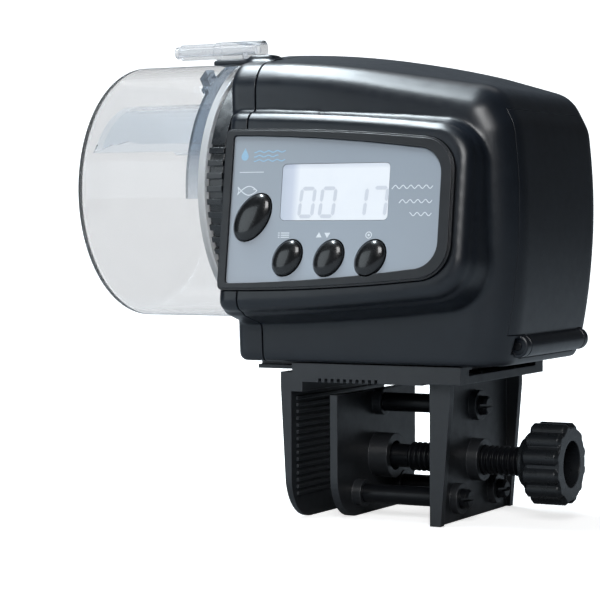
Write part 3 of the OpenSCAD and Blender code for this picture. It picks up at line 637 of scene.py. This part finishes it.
def panel_outline(x0, x1, h0, h1, r0, r1, g=0.0):
    xa, xb, ra, rb = x0 + r0, x1 - r1, max(r0 + g, 0.3), r1 + g
    edge = []
    for i in range(1, 16):
        u = i / 16
        edge.append((xa + u * (xb - xa), h0 + g + (h1 - h0) * u + 4 * BOW * u * (1 - u)))
    return (
        arc(xa, r0 - h0, ra, 180, 270) + [(x, -v) for x, v in edge] + arc(xb, r1 - h1, rb, 270, 360)
        + arc(xb, h1 - r1, rb, 0, 90) + edge[::-1] + arc(xa, h0 - r0, ra, 90, 180)
    )


def pod_outline(g=0.0):
    return panel_outline(LEFT_X + 0.6, 52.6, 27, 23, 3.5, 11, g)


def bezel_outline(g=0.0):
    return panel_outline(-17.2, 47.8, 20.9, 18, 1.5, 9, g)


def in_panel(x, v, z):
    """Panel frame: x across, v up the panel, z out of it."""
    return (
        x,
        PANEL_Y + v * math.sin(LEAN) - z * math.cos(LEAN),
        PANEL_Z + v * math.cos(LEAN) + z * math.sin(LEAN),
    )


def slabs(*levels):
    return [in_panel(x, v, z) for g, z in levels for x, v in pod_outline(g)]


def pod_parts(t):
    base = hull(slabs(
        (2.2 - t, -22), (0.6 - t, -10), (-t, -5.6), (-0.35 - t, -4.9 - t), (-1.0 - t, -4.6 - t)))
    field = hull(slabs(
        (-0.9 - t, -8), (-0.9 - t, -3.9), (-1.1 - t, -2.6 - t), (-1.9 - t, -1.5 - t), (-3.4 - t, -0.7 - t)))
    return base, field


BOSSES = [(-26, 10), (26, 10), (-27.4, 77.6), (27.4, 77.6)]
NOZZLE = (-20.0, 87.6)
HINGE = (56.5, 10.2)
DOOR_X, DOOR_HALF, DOOR_Z0, DOOR_Z1 = 52.5, 26.0, 13.2, 69.5
FOOT_SCREWS = (4.0, 28.0)
GAP = 0.22


def build_housing():
    reach = ((LEFT_X, -60, BASE_Z), (RIGHT_X, 0, TOP_Z))
    outer = hull(body_points(0, 40, 3), "outer")
    for p in pod_parts(0):
        add(outer, keep(p, box(*reach)))
    add(outer, box((-30.3, -23.4, 83.6), (LEFT_X + 1, -16.7, 85.2)))
    add(outer, hull(
        [(x, y, z) for x in (LEFT_X + 0.2, LEFT_X + 1.5) for y in (-23.2, -16.9) for z in (82.6, 86.2)]
        + [(x, y, z) for x in (SEAM_X - 3.5, SEAM_X - 0.8) for y in (-22.4, -17.7) for z in (82.6, 86.0)]))
    soften(outer, 0.55, 9)
    cut(outer, hull(body_points(WALL, 20, 8)))
    for p in pod_parts(WALL):
        cut(outer, keep(p, box((LEFT_X + WALL, -60, BASE_Z + 8), (RIGHT_X - WALL, 0, 80))))
    cut(outer, prism(bezel_outline(0.15), in_panel, -2.5, 4), prism(bezel_outline(-1), in_panel, -12, 3))

    door = keep(copy_of(outer, "door"), box((DOOR_X, -DOOR_HALF, DOOR_Z0), (RIGHT_X + 2, DOOR_HALF, DOOR_Z1)))
    left = keep(copy_of(outer, "left"), box((LEFT_X - 20, -60, 0), (SEAM_X - GAP, 60, 95)))
    main = keep(outer, box((SEAM_X + GAP, -60, 0), (RIGHT_X + 2, 60, 95)))

    for y, z in BOSSES:
        add(left, rod_x(3.4, LEFT_X + 1, SEAM_X, y, z))
        add(main, rod_x(3.4, SEAM_X, 2, y, z))
    add(left, rod_x(7.4, LEFT_X + 1, LEFT_X + 5, 0, DRUM_Z))
    cut(left, rod_x(2.42, -31, -16.2, *NOZZLE), rod_x(5.2, LEFT_X - 1, LEFT_X + 6, 0, DRUM_Z))
    for y, z in BOSSES:
        cut(left, rod_x(1.5, LEFT_X - 1, SEAM_X + 1, y, z, 24), rod_x(2.9, LEFT_X - 1, LEFT_X + 1.6, y, z))
        cut(main, rod_x(1.1, SEAM_X - 1, 1, y, z, 24))

    hx, hz = HINGE
    for s in (-1, 1):
        lug = [(hx + a, y, hz + b) for a, b in circle(2.9, 48) for y in (s * 20.1 - 1.1, s * 20.1 + 1.1)]
        lug += [(hx + a, y, hz + b) for a, b in circle(2.65, 48) for y in (s * 20.1 - 1.3, s * 20.1 + 1.3)]
        add(main, hull(lug))
        cut(main, rod_y(2.1, *sorted((s * 21.0, s * 23.5)), hx, hz))
    g = 0.14
    cut(
        main,
        box((DOOR_X, -DOOR_HALF - g, DOOR_Z0 - g), (RIGHT_X + 4, DOOR_HALF + g, DOOR_Z1 + g)),
        rod_y(3.3, -18.8, 18.8, hx, hz),
        box((hx - 3.3, -18.8, hz), (RIGHT_X + 4, 18.8, DOOR_Z0 + 1)),
        rod_y(1.05, -21.5, 21.5, hx, hz, 24),
    )
    for x in FOOT_SCREWS:
        cut(main, prism(circle(1.5, 24), along_z(x, 0), BASE_Z - 1, BASE_Z + 4))

    barrel = hull(
        [(hx + a, y, hz + b) for a, b in circle(2.9, 48) for y in (-18.3, 18.3)]
        + [(hx + a, y, hz + b) for a, b in circle(2.6, 48) for y in (-18.5, 18.5)])
    add(door, barrel, box((hx - 1.4, -18.5, hz), (hx + 0.9, 18.5, DOOR_Z0 + 1)))
    cut(door, rod_y(1.06, -30, 30, hx, hz, 24))

    finish_piece(left, "left_shell_skin", "feeder_body", M["case"], ["left_shell"], 40)
    finish_piece(main, "main_shell_skin", "feeder_body", M["case"], ["main_shell"], 40)
    finish_piece(door, "battery_door_skin", "battery_door", M["case"], ["battery_door"], 40)


build_housing()

# ---------------------------------------------------------------- push buttons

FEED_AT, SMALL_AT = (-8.0, -2.1), [(2.8, -12.5), (14.6, -12.5), (26.2, -12.5)]
TILT = math.radians(-35)


def build_button(name, node, body, at, a, ratio):
    """A domed oval button over a flanged skirt. Rows are (share of the oval, added width, height)."""
    rows = [(0, 0.0, -3.4), (1, 0.5, -3.4), (1, 0.5, -2.65), (1, 0.0, -2.65), (1, 0.0, 0.1)]
    dome = [math.radians(e) for e in range(6, 90, 6)]
    rows += [(math.cos(e) ** 0.8, 0.0, 0.1 + 1.45 * math.sin(e)) for e in dome]
    rows += [(0, 0.0, 1.55)]
    n, verts, rings = 72, [], []
    for share, wide, z in rows:
        if share == 0:
            rings.append([len(verts)])
            verts.append(in_panel(at[0], at[1], z))
            continue
        rings.append(list(range(len(verts), len(verts) + n)))
        for i in range(n):
            q = 2 * math.pi * i / n
            p, r = (a * ratio * share + wide) * math.cos(q), (a * share + wide) * math.sin(q)
            x, v = p * math.cos(TILT) - r * math.sin(TILT), p * math.sin(TILT) + r * math.cos(TILT)
            verts.append(in_panel(at[0] + x, at[1] + v, z))
    faces = []
    for p, q in zip(rings, rings[1:]):
        for i in range(n):
            j = (i + 1) % n
            if len(p) == 1:
                faces.append([p[0], q[j], q[i]])
            elif len(q) == 1:
                faces.append([p[i], p[j], q[0]])
            else:
                faces.append([p[i], p[j], q[j], q[i]])
    ob = mesh_object(name, verts, faces)
    bm = bmesh.new()
    bm.from_mesh(ob.data)
    bmesh.ops.recalc_face_normals(bm, faces=bm.faces)
    bm.to_mesh(ob.data)
    bm.free()
    finish_piece(ob, name, body, M["button"], [node], 50)


build_button("feed_button_dome", "feed_button", "feed_button", FEED_AT, 6.7, 0.64)
for label, at in zip(("mode", "adjust", "set"), SMALL_AT):
    build_button(label + "_button_dome", label + "_button", label + "_button", at, 4.9, 0.74)

# ---------------------------------------------------------------- printed marks and display digits


def ribbon(points, width, z0, z1, closed=False):
    """A flat strip that follows points in the panel frame; returns its vertices and faces."""
    pts = [Vector((p[0], p[1])) for p in points]
    n = len(pts)
    left, right = [], []
    for i, p in enumerate(pts):
        a = pts[(i - 1) % n] if closed or i else p
        b = pts[(i + 1) % n] if closed or i < n - 1 else p
        d = (b - a).normalized()
        side = Vector((-d.y, d.x)) * width / 2
        left.append(p + side)
        right.append(p - side)
    verts = [in_panel(p.x, p.y, z) for z in (z0, z1) for p in left + right]
    faces = []
    last = n if closed else n - 1
    for i in range(last):
        j = (i + 1) % n
        lo, hi = (i, j, n + j, n + i), (2 * n + i, 2 * n + j, 3 * n + j, 3 * n + i)
        faces += [list(lo), list(hi)[::-1]]
        faces += [[i, 2 * n + i, 2 * n + j, j], [n + i, n + j, 3 * n + j, 3 * n + i]]
    if not closed:
        faces += [[0, n, 3 * n, 2 * n], [n - 1, 3 * n - 1, 4 * n - 1, 2 * n - 1]]
    return verts, faces


def flat(outline, z0, z1):
    n = len(outline)
    verts = [in_panel(x, v, z) for z in (z0, z1) for x, v in outline]
    faces = [list(range(n))[::-1], list(range(n, 2 * n))]
    faces += [[i, (i + 1) % n, n + (i + 1) % n, n + i] for i in range(n)]
    return verts, faces


def gather(name, shapes):
    verts, faces = [], []
    for v, f in shapes:
        base = len(verts)
        verts += v
        faces += [[base + i for i in p] for p in f]
    ob = mesh_object(name, verts, faces)
    bm = bmesh.new()
    bm.from_mesh(ob.data)
    bmesh.ops.recalc_face_normals(bm, faces=bm.faces)
    bm.to_mesh(ob.data)
    bm.free()
    return ob


PRINT_Z = (0.0, 0.03)


def ring(x, y, r, n):
    return [polar(r, a, x, y) for a in np.linspace(0, 2 * math.pi, n, endpoint=False)]


def wave(x0, x1, v, high, length):
    k = max(8, int((x1 - x0) / length * 14))
    xs = [x0 + (x1 - x0) * i / k for i in range(k + 1)]
    return [(x, v + high * math.sin(2 * math.pi * x / length)) for x in xs]


def build_marks():
    ink, accent = [], []
    # feed sign: a plain fish outline
    cx, cv, hl, hh = -9.6, 4.8, 2.35, 1.15
    fish = [(-hl - 1.0, hh * 0.9)]
    fish += [(-hl + 2 * hl * i / 16, -hh * math.sin(math.pi * i / 16) + 0.0) for i in range(17)]
    fish += [(hl - 2 * hl * i / 16, hh * math.sin(math.pi * i / 16)) for i in range(1, 17)]
    fish += [(-hl - 1.0, -hh * 0.9)]
    ink.append(ribbon([(cx + x, cv + v) for x, v in fish], 0.26, *PRINT_Z))
    tail = [(cx - hl - 1.0, cv + hh * 0.9), (cx - hl - 0.6, cv), (cx - hl - 1.0, cv - hh * 0.9)]
    ink.append(ribbon(tail, 0.22, *PRINT_Z))
    ink.append(flat(ring(cx + 1.45, cv + 0.3, 0.17, 12), *PRINT_Z))
    # signs above the small buttons: list, up and down, ring
    x, v = 1.3, -6.7
    for i in (-1, 0, 1):
        ink.append(ribbon([(x - 1.6, v + i * 0.55), (x - 1.15, v + i * 0.55)], 0.24, *PRINT_Z))
        ink.append(ribbon([(x - 0.8, v + i * 0.55), (x + 1.6, v + i * 0.55)], 0.24, *PRINT_Z))
    x = 12.6
    ink.append(flat([(x - 2.0, v - 0.6), (x - 0.35, v - 0.6), (x - 1.18, v + 0.75)], *PRINT_Z))
    ink.append(flat([(x + 0.35, v + 0.6), (x + 1.18, v - 0.75), (x + 2.0, v + 0.6)], *PRINT_Z))
    x = 25.4
    ink.append(ribbon(ring(x, v, 0.78, 28), 0.24, *PRINT_Z, closed=True))
    ink.append(flat(ring(x, v, 0.3, 14), *PRINT_Z))
    # a drop over a waterline at the upper left, and three lines of ripples at the right
    dx, dv = -11.4, 13.9
    drop = [polar(1.05, a, dx, dv - 0.2) for a in np.linspace(math.radians(155), math.radians(385), 22)]
    accent.append(flat(drop + [(dx, dv + 2.0)], *PRINT_Z))
    for k, (x0, x1) in enumerate(((-8.7, 0.4), (-8.7, -1.6), (-8.7, 0.4))):
        accent.append(ribbon(wave(x0, x1, 14.9 - k * 1.15, 0.2, 2.6), 0.3, *PRINT_Z))
    ink.append(ribbon([(-12.7, 9.6), (-5.6, 9.6)], 0.2, *PRINT_Z))
    for x0, v0 in ((31.0, 5.3), (33.2, 1.7), (36.2, -1.5)):
        ink.append(ribbon(wave(x0, 42.2, v0, 0.42, 2.1), 0.22, *PRINT_Z))
    finish_piece(gather("label_signs", ink), "label_signs", "feeder_body", M["ink"])
    finish_piece(gather("label_drop", accent), "label_drop", "feeder_body", M["accent"])


SEGMENTS = {"0": "abcdef", "1": "bc", "7": "abc"}


def build_digits():
    """Seven-segment figures, faint as on a display that is nearly off."""
    lcd_x, lcd_v = -0.05, -2.9
    wide, high, thick, lean = 3.7, 7.1, 0.95, 0.09
    half = high / 2
    shapes = []
    bar = {
        "a": ((0, high), (wide, high)), "b": ((wide, high), (wide, half)), "c": ((wide, half), (wide, 0)),
        "d": ((0, 0), (wide, 0)), "e": ((0, half), (0, 0)), "f": ((0, high), (0, half)),
        "g": ((0, half), (wide, half)),
    }
    for ch, x0 in (("0", 5.3), ("0", 11.2), ("1", 20.0), ("7", 25.7)):
        for s in SEGMENTS[ch]:
            (ax, av), (bx, bv) = bar[s]
            a, b = Vector((ax, av)), Vector((bx, bv))
            d = (b - a).normalized()
            n = Vector((-d.y, d.x)) * thick / 2
            a, b = a + d * 0.12, b - d * 0.12
            tip = d * thick / 2
            ring = [a, a + tip + n, b - tip + n, b, b - tip - n, a + tip - n]
            out = [(lcd_x + x0 + p.x + lean * p.y, lcd_v + 1.0 + p.y) for p in ring]
            shapes.append(flat(out, -0.05, -0.03))
    finish_piece(gather("lcd_digits", shapes), "lcd_digits", "feeder_body", M["segment"])


build_marks()
build_digits()

# ---------------------------------------------------------------- clear parts


def sector(r0, r1, x0, x1, a0, a1, step=2.0):
    """A piece of a tube about the drum axis; angles run from +Y towards +Z."""
    outline = arc(0, 0, r1, a0, a1, step) + arc(0, 0, r0, a0, a1, step)[::-1]
    return prism(outline, along_x(0, DRUM_Z), x0, x1, "sector")


def build_drum():
    end, flange, r, wall, fillet = -67.5, -25.3, 35.0, 1.5, 3.2
    floor = end + wall - 0.25  # stays clear of the scoop's end wall
    ri = r - wall
    profile = [(end, 0), (end, 8), (end, 16), (end, 24)]
    outside, inside = [[math.radians(a) for a in turn] for turn in (range(-90, 1, 9), range(0, 91, 10))]
    profile += [(end + fillet + fillet * math.sin(a), r - fillet + fillet * math.cos(a)) for a in outside]
    profile += [(x, r) for x in np.linspace(end + 6, flange - 2.2, 12)]
    profile += [(flange - 2.2, r + 1.35), (flange - 2.05, r + 1.5), (flange - 0.15, r + 1.5)]
    profile += [(flange, r + 1.35), (flange, ri)]
    profile += [(x, ri) for x in np.linspace(flange - 2, floor + 3, 12)]
    profile += [(floor + 2 - 2 * math.sin(a), ri - 2 + 2 * math.cos(a)) for a in inside]
    profile += [(floor, 20), (floor, 10), (floor, 0)]
    ob = lathe_x("drum", profile, 0, DRUM_Z, 192)
    cut(ob, sector(ri - 1, r + 1, -41, -31.6, 40, 68))
    finish_piece(ob, "drum_glass", "drum", M["drum"], ["drum_shell"], 30)


def build_slider():
    r0, r1 = 35.15, 36.55
    ob = sector(r0, r1, -31.1, -27.7, -8, 184)
    add(ob, sector(r0, r1, -43.5, -31.0, 18, 50))
    add(ob, sector(r0, r1, -33.0, -31.0, 123, 133), sector(r1 - 0.1, 39.2, -33.0, -30.6, 125, 131))
    finish_piece(ob, "slider_band", "feed_slider", M["smoke"], ["feed_slider"], 30)


build_drum()
build_slider()

# ---------------------------------------------------------------- finishes of the CAD nodes

FINISH = {
    "clamp": "clamp_frame clamp_end_plate moving_jaw_plate slide_foot",
    "screw": "guide_pins clamp_screw door_hinge_pin",
    "knob": "clamp_knob",
    "zinc": "foot_screws case_screws board_screws battery_contacts battery_springs",
    "steel": "gear_axle hub_shaft motor retaining_clip",
    "bronze": "hub_bushing",
    "magnet": "index_magnet",
    "bezel": "display_bezel",
    "label": "control_label",
    "lcd": "lcd_lens",
    "lcd_cell": "lcd_module",
    "rubber": "button_pad",
    "board": "circuit_board",
    "reed": "reed_switch",
    "gearbox": "gearbox_base gearbox_cover",
    "gear": "motor_pinion compound_gear output_gear",
    "hub": "drive_hub",
    "scoop": "drum_scoop",
    "nozzle": "air_nozzle",
    "tray": "battery_tray",
    "cell": "battery_cells",
}
for finish, names in FINISH.items():
    for n in names.split():
        o = nodes[n]
        o.data.materials.clear()
        o.data.materials.append(M[finish])
        for p in o.data.polygons:
            p.material_index = 0

# ---------------------------------------------------------------- floor, backdrop and lights


def build_stage():
    low = cad_box[0][2]
    verts, faces = [], []
    profile = [(-3.0, 0), (0.0, 0), (0.9, 0)]
    bend = [math.radians(a) for a in range(10, 91, 10)]
    profile += [(0.9 + 0.5 * math.sin(a), 0.5 - 0.5 * math.cos(a)) for a in bend]
    profile += [(1.4, 2.5)]
    away = Vector((-math.sin(math.radians(CAM_AZ)), math.cos(math.radians(CAM_AZ)), 0))
    side = Vector((away.y, -away.x, 0))
    for d, h in profile:
        for s in (-0.7, 0.7) if h > 0.3 else (-1.6, 1.6):
            p = away * d + side * s
            verts.append((p.x, p.y, low + h))
    for i in range(len(profile) - 1):
        faces.append([2 * i, 2 * i + 1, 2 * i + 3, 2 * i + 2])
    floor = mesh_object("floor", verts, faces)
    floor.data.shade_smooth()
    t = Tree("paper")
    ray = t.node("LightPath").outputs
    direct = t.math("MULTIPLY", ray["Is Camera Ray"], 0.72)
    through_glass = t.math("MULTIPLY", ray["Is Transmission Ray"], 0.76)
    glow = t.math("ADD", direct, through_glass)
    other = t.mix(ray["Is Transmission Ray"], (0.25, 0.265, 0.285), (0.06, 0.06, 0.06))
    t.set(
        Base_Color=t.mix(ray["Is Camera Ray"], other, (0.86, 0.865, 0.87)), Roughness=0.9,
        Emission_Color=(1, 1, 1, 1), Emission_Strength=glow,
    )
    floor.data.materials.append(t.mat)


def area(name, at, to, size, power, colour=(1, 1, 1)):
    data = bpy.data.lights.new(name, "AREA")
    data.shape, data.size, data.size_y = "RECTANGLE", size[0], size[1]
    data.energy, data.color = power, colour
    ob = bpy.data.objects.new(name, data)
    scene.collection.objects.link(ob)
    ob.location = at
    ob.rotation_euler = (Vector(to) - Vector(at)).to_track_quat("-Z", "Y").to_euler()


build_stage()
area("overhead", (-0.36, -0.05, 0.98), (0.01, 0.0, 0.06), (0.95, 0.13), 20.0, (0.84, 0.94, 1.0))
area("left_front", (-0.55, -0.75, 0.12), (0, 0, 0.03), (0.45, 0.6), 1.3, (0.84, 0.94, 1.0))
area("key_front", (0.35, -0.9, 0.55), (0, 0, 0.04), (0.5, 0.4), 5.4)
area("back_light", (-0.3, 0.75, 1.2), (-0.2, 0.5, -0.03), (1.2, 0.6), 1.5)

world = bpy.data.worlds.new("studio")
scene.world = world
world.use_nodes = True
world.node_tree.nodes["Background"].inputs["Color"].default_value = (0.9, 0.95, 1.0, 1)
rays = world.node_tree.nodes.new("ShaderNodeLightPath").outputs["Is Transmission Ray"]
level = world.node_tree.nodes.new("ShaderNodeMapRange")
world.node_tree.links.new(rays, level.inputs["Value"])
level.inputs["To Min"].default_value, level.inputs["To Max"].default_value = 0.05, 0.8
world.node_tree.links.new(level.outputs["Result"], world.node_tree.nodes["Background"].inputs["Strength"])
scene.view_settings.view_transform = "Standard"
